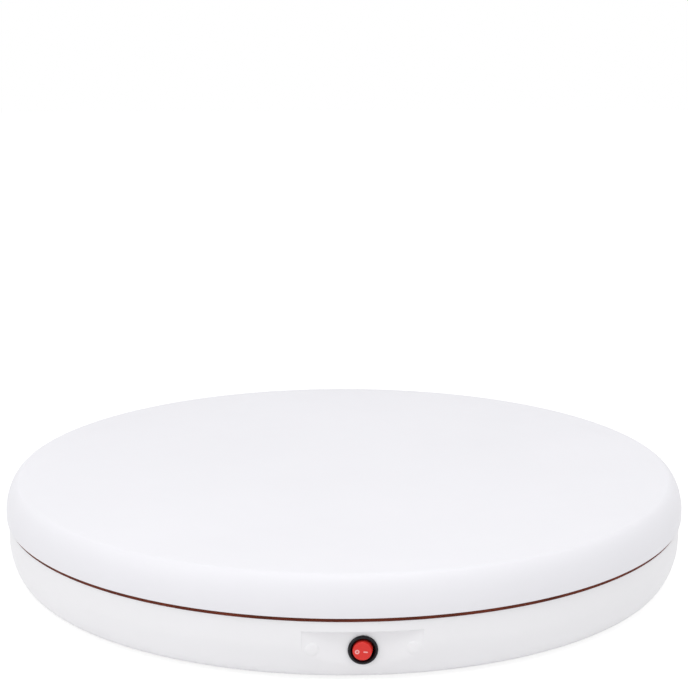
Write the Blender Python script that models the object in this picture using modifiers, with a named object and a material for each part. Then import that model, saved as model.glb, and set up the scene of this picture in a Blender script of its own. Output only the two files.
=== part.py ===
"""A motorised photography turntable: a white round platter that turns on a low white base.

Frame: metres, +Z up, the origin on the surface that the feet stand on, below the platter's axis.
The power switch is at the front, on -Y, and the power socket at the back, on +Y.
"""

import math

import bmesh
import bpy
from mathutils import Matrix, Vector

MM = 0.001
TURN = 2 * math.pi
UP = Vector((0, 0, 1))
FRONT, BACK = -1, 1

# Overall form
PLATTER_R = 300 * MM
TOP_Z = 83.4 * MM
FLAT_R = 287.2 * MM
SEAM_Z = 50.9 * MM
SEAM_GAP = 3.2 * MM
BASE_R = 298.1 * MM
BASE_FOOT_R = 286.4 * MM
FOOT_DROP = 3 * MM
WALL = 3 * MM
FIT_GAP = 0.3 * MM
BITE = 1 * MM
SHELL_STEPS = 72
RING_STEPS = 32
SMALL_STEPS = 20
TINY_STEPS = 12
HEX_STEPS = 6

# Platter
LIP_Z = SEAM_Z + SEAM_GAP / 2
SHOULDER_Z = SEAM_Z + 7 * MM
SHOULDER_POWER = 1.8
PLATE_LOW_Z = TOP_Z - 3.5 * MM
HUB_R = 62 * MM
HUB_LOW_Z = 69.4 * MM
BUSH_BORE_R = 10 * MM
BUSH_BORE_TOP_Z = 78.4 * MM
BUSH_LENGTH = 6 * MM
TRACK_R = 235 * MM
TRACK_IN_R = TRACK_R - 9 * MM
TRACK_OUT_R = TRACK_R + 9 * MM
TRACK_LOW_Z = 76.5 * MM
RIB_COUNT = 12
RIB_T = 3 * MM
RIB_LOW_Z = 71 * MM

# Base
RIM_Z = SEAM_Z - SEAM_GAP / 2
BELLY_Z = 31.3 * MM
BELLY_POWER = 1.6
FLOOR_Z = FOOT_DROP + WALL
FLOOR_R = BASE_FOOT_R - 2 * WALL
BOSS_R = 46 * MM
BOSS_TOP_Z = 46 * MM
SPINDLE_R = 8 * MM
SPINDLE_SEAT_Z = 10 * MM
SPINDLE_TOP_Z = 76 * MM
PANEL_TOP_Z = 41.4 * MM
PANEL_T = 3.2 * MM
PANEL_BACKING = 8 * MM
PANEL_MARGIN = 2 * MM
PANEL_CUT = 20 * MM
FRONT_PANEL_Y = BASE_R - 3.9 * MM
FRONT_PANEL_HALF = 45 * MM
BACK_PANEL_Y = BASE_R - 3.3 * MM
BACK_PANEL_HALF = 28 * MM
PANELS = ((FRONT, FRONT_PANEL_Y, FRONT_PANEL_HALF), (BACK, BACK_PANEL_Y, BACK_PANEL_HALF))
CONTROL_Z = 26.3 * MM
STANDOFF_R = 3.5 * MM
STANDOFF_INSET = 5 * MM

# Ring in the seam, and the feet
SEAL_IN_R = 289 * MM
SEAL_OUT_R = 297.2 * MM
SEAL_T = 2.4 * MM
FOOT_COUNT = 6
FOOT_RING_R = 250 * MM
FOOT_R = 13 * MM
FOOT_EDGE = 0.8 * MM

# Round rocker switch
BEZEL_R = 11.2 * MM
BEZEL_T = 2.2 * MM
BEZEL_EDGE = 0.9 * MM
SWITCH_HOLE_R = 10.2 * MM
SWITCH_BODY_R = 9.8 * MM
SWITCH_DEPTH = 14 * MM
SWITCH_BORE_R = 8.7 * MM
SWITCH_BORE_DEPTH = 9 * MM
ROCKER_R = 7.8 * MM
ROCKER_TILT = math.radians(7)
ROCKER_HEIGHT = 7.3 * MM
ROCKER_TAIL = 4.5 * MM
ROCKER_VALLEY = 1.1 * MM
PIVOT_DEPTH = 2.6 * MM
PIVOT_R = 1.2 * MM
PIVOT_HALF = 9.3 * MM
TERMINAL_X = 4 * MM
TERMINAL_SIZE = Vector((0.8 * MM, 8 * MM, 4.8 * MM))

# Plugs beside the switch
PLUG_X = 37.4 * MM
PLUG_Z = CONTROL_Z + 0.9 * MM
PLUG_R = 4.6 * MM
PLUG_HEAD_R = 5.1 * MM
PLUG_HEAD_T = 0.5 * MM
PLUG_DEPTH = 2.8 * MM

# Power socket
JACK_FLANGE_R = 7 * MM
JACK_FLANGE_T = 1.8 * MM
JACK_EDGE = 0.6 * MM
JACK_BARREL_R = 5.5 * MM
JACK_HOLE_R = 5.9 * MM
JACK_LENGTH = 15 * MM
JACK_BORE_R = 3.2 * MM
JACK_BORE_DEPTH = 10 * MM
JACK_PIN_R = 1.05 * MM
JACK_PIN_TIP = 2.6 * MM
JACK_NUT_R = 8 * MM
JACK_NUT_T = 2.5 * MM

# Gears
GEAR_MODULE = 2 * MM
GEAR_TEETH = 72
PINION_TEETH = 18
GEAR_T = 8 * MM
GEAR_BORE_R = 20 * MM
GEAR_LOW_Z = HUB_LOW_Z - FIT_GAP - GEAR_T
PRESSURE_ANGLE = math.radians(20)
ADDENDUM = 0.95
DEDENDUM = 1.25
BACKLASH = 0.35 * MM
GEAR_SCREW_COUNT = 3
GEAR_SCREW_RING_R = 52 * MM
SCREW_SHANK_R = 1.7 * MM
SCREW_HOLE_R = 2.1 * MM
SCREW_HEAD_R = 3.2 * MM
SCREW_HEAD_TOP_R = 2.6 * MM
SCREW_HEAD_T = 1.8 * MM
GEAR_SCREW_LENGTH = 7 * MM

# Thrust bearing
RACE_IN_R = 26 * MM
RACE_OUT_R = 44 * MM
RACE_T = 4.6 * MM
BALL_RING_R = 35 * MM
BALL_R = 3.55 * MM
BALL_COUNT = 12
BALL_STEPS = 8
GROOVE_POINTS = 5
GROOVE_SHARE = 0.55
CAGE_HALF_WIDTH = 6 * MM
LOWER_RACE_Z = BOSS_TOP_Z + FIT_GAP + RACE_T
UPPER_RACE_Z = GEAR_LOW_Z - FIT_GAP - RACE_T

# Gear motor
MOTOR_X = GEAR_MODULE * (GEAR_TEETH + PINION_TEETH) / 2
MOTOR_CAN_R = 16.5 * MM
MOTOR_CAN_LOW_Z = FLOOR_Z + 3 * MM
GEARBOX_R = 18.5 * MM
GEARBOX_T = 16 * MM
BRACKET_LOW_Z = GEAR_LOW_Z - 4.8 * MM
BRACKET_T = 2 * MM
BRACKET_HALF_X = 14 * MM
BRACKET_HALF_Y = 38 * MM
BRACKET_HOLE_R = 7 * MM
SHAFT_R = 3 * MM
SHAFT_PROUD = 1 * MM
POST_Y = 30 * MM
POST_R = 4.5 * MM

# Support rollers
ROLLER_COUNT = 4
ROLLER_R = 15 * MM
ROLLER_HALF = 7 * MM
ROLLER_EDGE = 1.5 * MM
ROLLER_Z = TRACK_LOW_Z - FIT_GAP - ROLLER_R
AXLE_R = 2.5 * MM
AXLE_HOLE_R = 2.9 * MM
AXLE_PROUD = 1.5 * MM
FORK_WIDTH = 24 * MM
FORK_DEPTH = 22 * MM
FORK_TOP_Z = ROLLER_Z + 7 * MM
FORK_LOW_Z = FLOOR_Z + FIT_GAP
SLOT_LOW_Z = ROLLER_Z - ROLLER_R - 2 * MM
SLOT_WIDTH = 2 * ROLLER_HALF + 1.2 * MM
SLOT_PAST = 10 * MM

# Electronics
BOARD_CENTRE = Vector((0, -130 * MM, 14.8 * MM))
BOARD_SIZE = Vector((80 * MM, 50 * MM, 1.6 * MM))
BOARD_TOP_Z = BOARD_CENTRE.z + BOARD_SIZE.z / 2 + FIT_GAP
BLOCK_SIZE = Vector((40 * MM, 10 * MM, 10 * MM))
BLOCK_CENTRE = Vector((0, BOARD_CENTRE.y - 19 * MM, BOARD_TOP_Z + BLOCK_SIZE.z / 2))
CHIP_SIZE = Vector((12 * MM, 10 * MM, 2.4 * MM))
RECEIVER_SIZE = Vector((18 * MM, 14 * MM, 3 * MM))
CHIP_X = 18 * MM
RECEIVER_X = -20 * MM
UPPER_ROW_Y = BOARD_CENTRE.y + 9 * MM
CAPACITOR_R = 5 * MM
CAPACITOR_T = 13 * MM
LED_IN_R = 180 * MM
LED_OUT_R = 205 * MM
LED_LOW_Z = FLOOR_Z + FIT_GAP
LED_T = 1.6 * MM
LED_COUNT = 24
LED_SIZE = Vector((5 * MM, 5 * MM, 1.4 * MM))
LED_SINK = 0.3 * MM
LEAD_R = 1.2 * MM
LEAD_GAP = 2 * FIT_GAP
LEAD_STRAIGHT = 10 * MM
LEAD_STUB = 8 * MM
LEAD_SPAN_POINTS = 4


def clear_scene():
    for obj in list(bpy.data.objects):
        bpy.data.objects.remove(obj)


def new_collection(name):
    collection = bpy.data.collections.new(name)
    bpy.context.scene.collection.children.link(collection)
    return collection


def new_material(name, colour, roughness, metallic=0.0):
    material = bpy.data.materials.new(name)
    material.use_nodes = True
    shader = material.node_tree.nodes["Principled BSDF"]
    shader.inputs["Base Color"].default_value = (*colour, 1)
    shader.inputs["Roughness"].default_value = roughness
    shader.inputs["Metallic"].default_value = metallic
    return material


clear_scene()
PARTS = new_collection("photo_turntable")
HELPERS = new_collection("cutters")
WHITE = new_material("white_abs", (0.86, 0.86, 0.88), 0.35)
BROWN = new_material("brown_seal", (0.14, 0.05, 0.035), 0.7)
BLACK = new_material("black_plastic", (0.02, 0.02, 0.022), 0.4)
RED = new_material("red_plastic", (0.62, 0.03, 0.025), 0.3)
RUBBER = new_material("foot_rubber", (0.05, 0.05, 0.05), 0.85)
STEEL = new_material("steel", (0.6, 0.6, 0.62), 0.3, 1.0)
BRASS = new_material("brass", (0.75, 0.55, 0.25), 0.35, 1.0)
NYLON = new_material("nylon", (0.75, 0.74, 0.7), 0.5)
BOARD_GREEN = new_material("circuit_board", (0.03, 0.2, 0.07), 0.5)
LEAD_RED = new_material("lead_insulation", (0.5, 0.03, 0.03), 0.5)


# Making and joining solids
def add_mesh(name, mesh, material=None, place=Matrix.Identity(4)):
    """A part when it has a material, and a hidden helper when it has none."""
    obj = bpy.data.objects.new(name, mesh)
    obj.matrix_world = place
    if material is None:
        HELPERS.objects.link(obj)
        obj.hide_render = True
        obj.display_type = "WIRE"
    else:
        PARTS.objects.link(obj)
        mesh.materials.clear()
        mesh.materials.append(material)
    return obj


def smooth(mesh, degrees=35):
    mesh.shade_smooth()
    mesh.set_sharp_from_angle(angle=math.radians(degrees))


def boolean(obj, other, operation):
    modifier = obj.modifiers.new(operation.lower(), "BOOLEAN")
    modifier.operation = operation
    modifier.object = other


def evaluated_mesh(obj, weld=1e-6):
    """The object's mesh with its modifiers applied and its seams welded."""
    bpy.context.view_layer.update()
    graph = bpy.context.evaluated_depsgraph_get()
    mesh = bpy.data.meshes.new_from_object(obj.evaluated_get(graph))
    work = bmesh.new()
    work.from_mesh(mesh)
    bmesh.ops.remove_doubles(work, verts=work.verts, dist=weld)
    work.to_mesh(mesh)
    work.free()
    return mesh


def finished(obj, name, material):
    """The helper baked to a plain mesh, as a part of its own name."""
    mesh = evaluated_mesh(obj)
    place = obj.matrix_world.copy()
    bpy.data.objects.remove(obj)
    smooth(mesh)
    return add_mesh(name, mesh, material, place)


def box_mesh(boxes):
    """One mesh of boxes, each given by its centre, its size and a turn about Z."""
    work = bmesh.new()
    for centre, size, turn in boxes:
        place = Matrix.Rotation(turn, 4, "Z") @ Matrix.Translation(centre)
        bmesh.ops.create_cube(work, size=1, matrix=place @ Matrix.Diagonal((*size, 1)))
    mesh = bpy.data.meshes.new("boxes")
    work.to_mesh(mesh)
    work.free()
    return mesh


def rod_mesh(rods, steps):
    """One mesh of round rods, each given by its two ends and its radius."""
    work = bmesh.new()
    for low, high, radius in rods:
        axis = Vector(high) - Vector(low)
        middle = Matrix.Translation((Vector(low) + Vector(high)) / 2)
        bmesh.ops.create_cone(
            work,
            cap_ends=True,
            segments=steps,
            radius1=radius,
            radius2=radius,
            depth=axis.length,
            matrix=middle @ UP.rotation_difference(axis).to_matrix().to_4x4(),
        )
    mesh = bpy.data.meshes.new("rods")
    work.to_mesh(mesh)
    work.free()
    return mesh


def box(name, centre, size, material=None):
    return add_mesh(name, box_mesh([(Vector(centre), Vector(size), 0)]), material)


def rod(name, low, high, radius, material=None, steps=SMALL_STEPS):
    mesh = rod_mesh([(low, high, radius)], steps)
    smooth(mesh)
    return add_mesh(name, mesh, material)


def turned(profile, steps, closed=False):
    """A helper turned about Z from (radius, height) points that run down its outer side."""
    mesh = bpy.data.meshes.new("profile")
    count = len(profile)
    edges = [(i, (i + 1) % count) for i in range(count if closed else count - 1)]
    mesh.from_pydata([(r, 0, z) for r, z in profile], edges, [])
    obj = add_mesh("turned", mesh)
    screw = obj.modifiers.new("turn", "SCREW")
    screw.axis = "Z"
    screw.angle = TURN
    screw.steps = steps
    screw.render_steps = steps
    screw.use_merge_vertices = True
    screw.merge_threshold = 1e-5
    return obj


def turned_part(name, profile, material, steps, closed=False, place=Matrix.Identity(4)):
    blank = turned(profile, steps, closed)
    blank.matrix_world = place
    return finished(blank, name, material)


def ring(name, in_r, out_r, low_z, high_z, material, steps=RING_STEPS):
    profile = [(in_r, high_z), (out_r, high_z), (out_r, low_z), (in_r, low_z)]
    return turned_part(name, profile, material, steps, closed=True)


def around(count, start=0.0):
    return [start + TURN * i / count for i in range(count)]


def polar(radius, angle, z=0.0):
    return Vector((radius * math.cos(angle), radius * math.sin(angle), z))


def rounding(level, upright, power, points):
    """A rounded corner from the level point, where it runs flat, to the upright point."""
    found = []
    for i in range(points + 1):
        t = math.pi / 2 * i / points
        r = level[0] + (upright[0] - level[0]) * math.sin(t) ** (2 / power)
        z = upright[1] + (level[1] - upright[1]) * abs(math.cos(t)) ** (2 / power)
        found.append((r, z))
    return found


def belly(inset, points):
    """The base's lower corner, from its upright wall down to its underside, moved in by the inset."""
    outer = rounding((BASE_FOOT_R, FOOT_DROP), (BASE_R, BELLY_Z), BELLY_POWER, points)
    return [(r - inset, max(z, FOOT_DROP + inset)) for r, z in reversed(outer)]


def facing(side, panel_y, x=0.0, z=CONTROL_Z):
    """Places local +Z along the outward normal of the front or back panel."""
    turn = UP.rotation_difference(Vector((0, side, 0))).to_matrix().to_4x4()
    return Matrix.Translation((x, side * panel_y, z)) @ turn


def circle_points(centre, radius, steps):
    return [Vector(centre) + polar(radius, angle) for angle in around(steps)]


def plate(name, outlines, low_z, thickness, material, x=0.0):
    """A flat plate from closed outlines, where an outline inside another is a hole."""
    curve = bpy.data.curves.new(name, "CURVE")
    curve.dimensions = "2D"
    curve.fill_mode = "BOTH"
    curve.extrude = thickness / 2
    for outline in outlines:
        spline = curve.splines.new("POLY")
        spline.points.add(len(outline) - 1)
        for point, place in zip(spline.points, outline):
            point.co = (place.x, place.y, 0, 1)
        spline.use_cyclic_u = True
    obj = bpy.data.objects.new("outline", curve)
    obj.matrix_world = Matrix.Translation((x, 0, low_z + thickness / 2))
    HELPERS.objects.link(obj)
    return finished(obj, name, material)


# Platter and its gear
def make_platter_shell():
    shoulder = rounding((FLAT_R, TOP_Z), (PLATTER_R, SHOULDER_Z), SHOULDER_POWER, 7)
    inside = rounding((FLAT_R - WALL, PLATE_LOW_Z), (PLATTER_R - WALL, SHOULDER_Z), SHOULDER_POWER, 3)
    profile = [(0, TOP_Z), *shoulder]
    profile += [(PLATTER_R, LIP_Z), (PLATTER_R - WALL, LIP_Z), *reversed(inside)]
    profile += [(TRACK_OUT_R, PLATE_LOW_Z), (TRACK_OUT_R, TRACK_LOW_Z)]
    profile += [(TRACK_IN_R, TRACK_LOW_Z), (TRACK_IN_R, PLATE_LOW_Z)]
    profile += [(HUB_R, PLATE_LOW_Z), (HUB_R, HUB_LOW_Z), (BUSH_BORE_R, HUB_LOW_Z)]
    profile += [(BUSH_BORE_R, BUSH_BORE_TOP_Z), (0, BUSH_BORE_TOP_Z)]
    shell = turned(profile, SHELL_STEPS)
    start, end = HUB_R - BITE, TRACK_IN_R + BITE
    low, high = RIB_LOW_Z, PLATE_LOW_Z + BITE
    centre = Vector(((start + end) / 2, 0, (low + high) / 2))
    size = Vector((end - start, RIB_T, high - low))
    ribs = [(centre, size, angle) for angle in around(RIB_COUNT, TURN / RIB_COUNT / 2)]
    boolean(shell, add_mesh("platter_ribs", box_mesh(ribs)), "UNION")
    finished(shell, "platter_shell", WHITE)


def gear_outline(teeth, start, flank_points):
    """An involute gear's outline, with a tooth centred at the start angle."""
    pitch_r = GEAR_MODULE * teeth / 2
    base_r = pitch_r * math.cos(PRESSURE_ANGLE)
    tip_r = pitch_r + ADDENDUM * GEAR_MODULE
    root_r = pitch_r - DEDENDUM * GEAR_MODULE
    half = (math.pi * GEAR_MODULE / 2 - BACKLASH) / 2 / pitch_r
    involute = math.tan(PRESSURE_ANGLE) - PRESSURE_ANGLE

    def half_angle(radius):
        roll = math.acos(min(1, base_r / radius))
        return half + involute - (math.tan(roll) - roll)

    flank_low = max(base_r, root_r)
    share = [i / (flank_points - 1) for i in range(flank_points)]
    flank = [(r, half_angle(r)) for r in (flank_low + (tip_r - flank_low) * s for s in share)]
    if root_r < base_r:
        flank.insert(0, (root_r, half_angle(base_r)))
    points = []
    for centre in around(teeth, start):
        points += [polar(r, centre - a) for r, a in flank]
        points += [polar(r, centre + a) for r, a in reversed(flank)]
    return points


def make_gears():
    half_tooth = TURN / GEAR_TEETH / 2
    spots = [polar(GEAR_SCREW_RING_R, angle) for angle in around(GEAR_SCREW_COUNT, TURN / 4)]
    outlines = [gear_outline(GEAR_TEETH, half_tooth, 2)]
    outlines += [circle_points((0, 0, 0), GEAR_BORE_R, RING_STEPS)]
    outlines += [circle_points(spot, SCREW_HOLE_R, TINY_STEPS) for spot in spots]
    plate("platter_gear", outlines, GEAR_LOW_Z, GEAR_T, NYLON)
    for i, spot in enumerate(spots, 1):
        tip, seat = GEAR_LOW_Z + GEAR_SCREW_LENGTH, GEAR_LOW_Z - FIT_GAP
        profile = [(0, tip), (SCREW_SHANK_R, tip), (SCREW_SHANK_R, seat), (SCREW_HEAD_R, seat)]
        profile += [(SCREW_HEAD_TOP_R, seat - SCREW_HEAD_T), (0, seat - SCREW_HEAD_T)]
        place = Matrix.Translation(spot)
        turned_part(f"gear_screw_{i}", profile, STEEL, TINY_STEPS, place=place)
    pinion = [gear_outline(PINION_TEETH, math.pi, 3)]
    pinion += [circle_points((0, 0, 0), SHAFT_R + FIT_GAP, SMALL_STEPS)]
    plate("drive_pinion", pinion, GEAR_LOW_Z, GEAR_T, BRASS, MOTOR_X)


# Spindle and thrust bearing
def race_profile(face_z, side):
    """A race ring whose ball groove faces up (+1) or down (-1)."""
    back_z = face_z - side * RACE_T
    groove_r = BALL_R + FIT_GAP
    groove = []
    for i in range(GROOVE_POINTS):
        angle = math.pi * (i + 0.5) / GROOVE_POINTS
        depth = max(0, groove_r * (math.sin(angle) - GROOVE_SHARE))
        groove.append((BALL_RING_R + groove_r * math.cos(angle), face_z - side * depth))
    outline = [(RACE_OUT_R, face_z), (RACE_OUT_R, back_z), (RACE_IN_R, back_z), (RACE_IN_R, face_z)]
    outline += reversed(groove)
    return outline if side > 0 else outline[::-1]


def make_bearing():
    rod("spindle", UP * (SPINDLE_SEAT_Z + FIT_GAP), UP * SPINDLE_TOP_Z, SPINDLE_R, STEEL, RING_STEPS)
    bush_low = HUB_LOW_Z + FIT_GAP
    bush_in, bush_out = SPINDLE_R + FIT_GAP, BUSH_BORE_R - FIT_GAP
    ring("spindle_bush", bush_in, bush_out, bush_low, bush_low + BUSH_LENGTH, BRASS)
    turned_part("lower_race", race_profile(LOWER_RACE_Z, 1), STEEL, RING_STEPS, closed=True)
    turned_part("upper_race", race_profile(UPPER_RACE_Z, -1), STEEL, RING_STEPS, closed=True)
    middle = (LOWER_RACE_Z + UPPER_RACE_Z) / 2
    half = (UPPER_RACE_Z - LOWER_RACE_Z) / 2 - FIT_GAP
    in_r, out_r = BALL_RING_R - CAGE_HALF_WIDTH, BALL_RING_R + CAGE_HALF_WIDTH
    top, low = middle + half, middle - half
    cage = turned([(in_r, top), (out_r, top), (out_r, low), (in_r, low)], RING_STEPS, closed=True)
    work = bmesh.new()
    for angle in around(BALL_COUNT, TURN / BALL_COUNT / 4):
        bmesh.ops.create_uvsphere(
            work,
            u_segments=BALL_STEPS,
            v_segments=BALL_STEPS,
            radius=BALL_R,
            matrix=Matrix.Translation(polar(BALL_RING_R, angle, middle)),
        )
    balls = bpy.data.meshes.new("balls")
    work.to_mesh(balls)
    work.free()
    boolean(cage, add_mesh("balls", balls), "UNION")
    finished(cage, "ball_cage", BRASS)


# Base
def panel_hole(side, panel_y, radius, x=0.0, z=CONTROL_Z):
    near, far = side * (panel_y - PANEL_CUT / 2), side * (panel_y + PANEL_CUT / 2)
    return ((x, near, z), (x, far, z), radius)


def panel_backing():
    """Boxes behind the panels, trimmed to lie inside the base's outer skin."""
    inset = WALL / 2
    top = RIM_Z - PANEL_MARGIN
    skin = turned([(0, top), (BASE_R - inset, top), *belly(inset, 8), (0, FOOT_DROP + inset)], SHELL_STEPS)
    boxes = []
    for side, panel_y, half in PANELS:
        centre_y = side * (panel_y - PANEL_T + PANEL_BACKING / 2)
        centre = Vector((0, centre_y, (FLOOR_Z + PANEL_TOP_Z) / 2))
        height = PANEL_TOP_Z - FLOOR_Z + 2 * PANEL_MARGIN
        boxes.append((centre, Vector((2 * half + 2 * PANEL_MARGIN, PANEL_BACKING, height)), 0))
    backing = add_mesh("panel_backing", box_mesh(boxes))
    boolean(backing, skin, "INTERSECT")
    return backing


def board_standoffs():
    half = BOARD_SIZE / 2
    top = BOARD_CENTRE.z - half.z - FIT_GAP
    rods = []
    for x in (-half.x + STANDOFF_INSET, half.x - STANDOFF_INSET):
        for y in (-half.y + STANDOFF_INSET, half.y - STANDOFF_INSET):
            spot = Vector((BOARD_CENTRE.x + x, BOARD_CENTRE.y + y, 0))
            rods.append((spot + UP * (FLOOR_Z - BITE), spot + UP * top, STANDOFF_R))
    return add_mesh("standoffs", rod_mesh(rods, TINY_STEPS))


def panel_cuts():
    boxes = []
    for side, panel_y, half in PANELS:
        centre = Vector((0, side * (panel_y + PANEL_CUT / 2), PANEL_TOP_Z / 2))
        boxes.append((centre, Vector((2 * half, PANEL_CUT, PANEL_TOP_Z)), 0))
    return add_mesh("panel_cuts", box_mesh(boxes))


def panel_holes():
    plug_hole_r = PLUG_R + FIT_GAP
    holes = [panel_hole(FRONT, FRONT_PANEL_Y, SWITCH_HOLE_R)]
    holes += [panel_hole(FRONT, FRONT_PANEL_Y, plug_hole_r, x, PLUG_Z) for x in (-PLUG_X, PLUG_X)]
    holes += [panel_hole(BACK, BACK_PANEL_Y, JACK_HOLE_R)]
    return add_mesh("panel_holes", rod_mesh(holes, SMALL_STEPS))


def make_base_shell():
    bore_r = SPINDLE_R + FIT_GAP
    inside = [point for point in reversed(belly(WALL, 4)) if point[1] > FLOOR_Z + BITE]
    profile = [(0, SPINDLE_SEAT_Z), (bore_r, SPINDLE_SEAT_Z), (bore_r, BOSS_TOP_Z)]
    profile += [(BOSS_R, BOSS_TOP_Z), (BOSS_R, FLOOR_Z), (FLOOR_R, FLOOR_Z), *inside]
    profile += [(BASE_R - WALL, RIM_Z), (BASE_R, RIM_Z), *belly(0, 7), (0, FOOT_DROP)]
    shell = turned(profile, SHELL_STEPS)
    boolean(shell, panel_backing(), "UNION")
    boolean(shell, board_standoffs(), "UNION")
    boolean(shell, panel_cuts(), "DIFFERENCE")
    boolean(shell, panel_holes(), "DIFFERENCE")
    finished(shell, "base_shell", WHITE)


def make_base_trim():
    seal_low = RIM_Z + FIT_GAP
    ring("seam_seal", SEAL_IN_R, SEAL_OUT_R, seal_low, seal_low + SEAL_T, BROWN, SHELL_STEPS)
    top = FOOT_DROP - FIT_GAP
    for i, angle in enumerate(around(FOOT_COUNT, TURN / FOOT_COUNT / 2), 1):
        profile = [(0, top), (FOOT_R, top), (FOOT_R, FOOT_EDGE), (FOOT_R - FOOT_EDGE, 0), (0, 0)]
        place = Matrix.Translation(polar(FOOT_RING_R, angle))
        turned_part(f"foot_{i}", profile, RUBBER, SMALL_STEPS, place=place)
    for name, x in (("panel_plug_left", -PLUG_X), ("panel_plug_right", PLUG_X)):
        crown = FIT_GAP + PLUG_HEAD_T
        profile = [(0, crown), (PLUG_HEAD_R - PLUG_HEAD_T, crown), (PLUG_HEAD_R, FIT_GAP)]
        profile += [(PLUG_R, FIT_GAP), (PLUG_R, -PLUG_DEPTH), (0, -PLUG_DEPTH)]
        place = facing(FRONT, FRONT_PANEL_Y, x, PLUG_Z)
        turned_part(name, profile, WHITE, SMALL_STEPS, place=place)


# Rocker switch at the front
def make_switch():
    place = facing(FRONT, FRONT_PANEL_Y)
    pivot = Vector((0, PIVOT_DEPTH - FRONT_PANEL_Y, CONTROL_Z))
    mouth = BEZEL_T - BEZEL_EDGE
    profile = [(0, -SWITCH_BORE_DEPTH), (SWITCH_BORE_R, -SWITCH_BORE_DEPTH), (SWITCH_BORE_R, mouth)]
    profile += [(SWITCH_BORE_R + BEZEL_EDGE / 2, BEZEL_T), (BEZEL_R - BEZEL_EDGE, BEZEL_T)]
    profile += [(BEZEL_R, mouth), (BEZEL_R, FIT_GAP), (SWITCH_BODY_R, FIT_GAP)]
    profile += [(SWITCH_BODY_R, -SWITCH_DEPTH), (0, -SWITCH_DEPTH)]
    housing = turned(profile, RING_STEPS)
    housing.matrix_world = place
    reach = UP * SWITCH_HOLE_R
    pivot_hole = rod("pivot_hole", pivot - reach, pivot + reach, PIVOT_R + FIT_GAP, None, TINY_STEPS)
    boolean(housing, pivot_hole, "DIFFERENCE")
    finished(housing, "switch_housing", BLACK)

    blank = rod("rocker", (0, ROCKER_TAIL, 0), (0, -ROCKER_HEIGHT, 0), ROCKER_R, None, RING_STEPS)
    boolean(blank, rod("trunnion", UP * -PIVOT_HALF, UP * PIVOT_HALF, PIVOT_R, None, TINY_STEPS), "UNION")
    block = 2 * ROCKER_R
    for side in (-1, 1):
        cutter = box("rocker_cut", (side * block, -block, 0), (2 * block, 2 * block, 2 * block))
        valley = Matrix.Translation((0, ROCKER_VALLEY - ROCKER_HEIGHT, 0))
        cutter.matrix_world = valley @ Matrix.Rotation(-side * ROCKER_TILT, 4, "Z")
        boolean(blank, cutter, "DIFFERENCE")
    rocker = finished(blank, "switch_rocker", RED)
    rocker.matrix_world = Matrix.Translation(pivot) @ Matrix.Rotation(-ROCKER_TILT, 4, "Z")

    back_y = SWITCH_DEPTH + FIT_GAP - FRONT_PANEL_Y
    for name, x in (("switch_terminal_supply", -TERMINAL_X), ("switch_terminal_load", TERMINAL_X)):
        box(name, (x, back_y + TERMINAL_SIZE.y / 2, CONTROL_Z), TERMINAL_SIZE, BRASS)
    return back_y + TERMINAL_SIZE.y


# Power socket at the back
def make_jack():
    place = facing(BACK, BACK_PANEL_Y)
    profile = [(0, -JACK_BORE_DEPTH), (JACK_BORE_R, -JACK_BORE_DEPTH), (JACK_BORE_R, JACK_FLANGE_T)]
    profile += [(JACK_FLANGE_R - JACK_EDGE, JACK_FLANGE_T), (JACK_FLANGE_R, JACK_FLANGE_T - JACK_EDGE)]
    profile += [(JACK_FLANGE_R, FIT_GAP), (JACK_BARREL_R, FIT_GAP)]
    profile += [(JACK_BARREL_R, -JACK_LENGTH), (0, -JACK_LENGTH)]
    turned_part("jack_housing", profile, BLACK, SMALL_STEPS, place=place)
    pin_foot = FIT_GAP - JACK_BORE_DEPTH
    pin = [(0, -JACK_PIN_TIP), (JACK_PIN_R, -JACK_PIN_TIP - JACK_EDGE), (JACK_PIN_R, pin_foot), (0, pin_foot)]
    turned_part("jack_pin", pin, STEEL, TINY_STEPS, place=place)
    outlines = [circle_points((0, 0, 0), JACK_NUT_R, HEX_STEPS)]
    outlines += [circle_points((0, 0, 0), JACK_BARREL_R + FIT_GAP, SMALL_STEPS)]
    nut = plate("jack_nut", outlines, 0, JACK_NUT_T, STEEL)
    nut.matrix_world = place @ Matrix.Translation((0, 0, -PANEL_T - FIT_GAP - JACK_NUT_T / 2))
    return BACK_PANEL_Y - JACK_LENGTH


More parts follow.
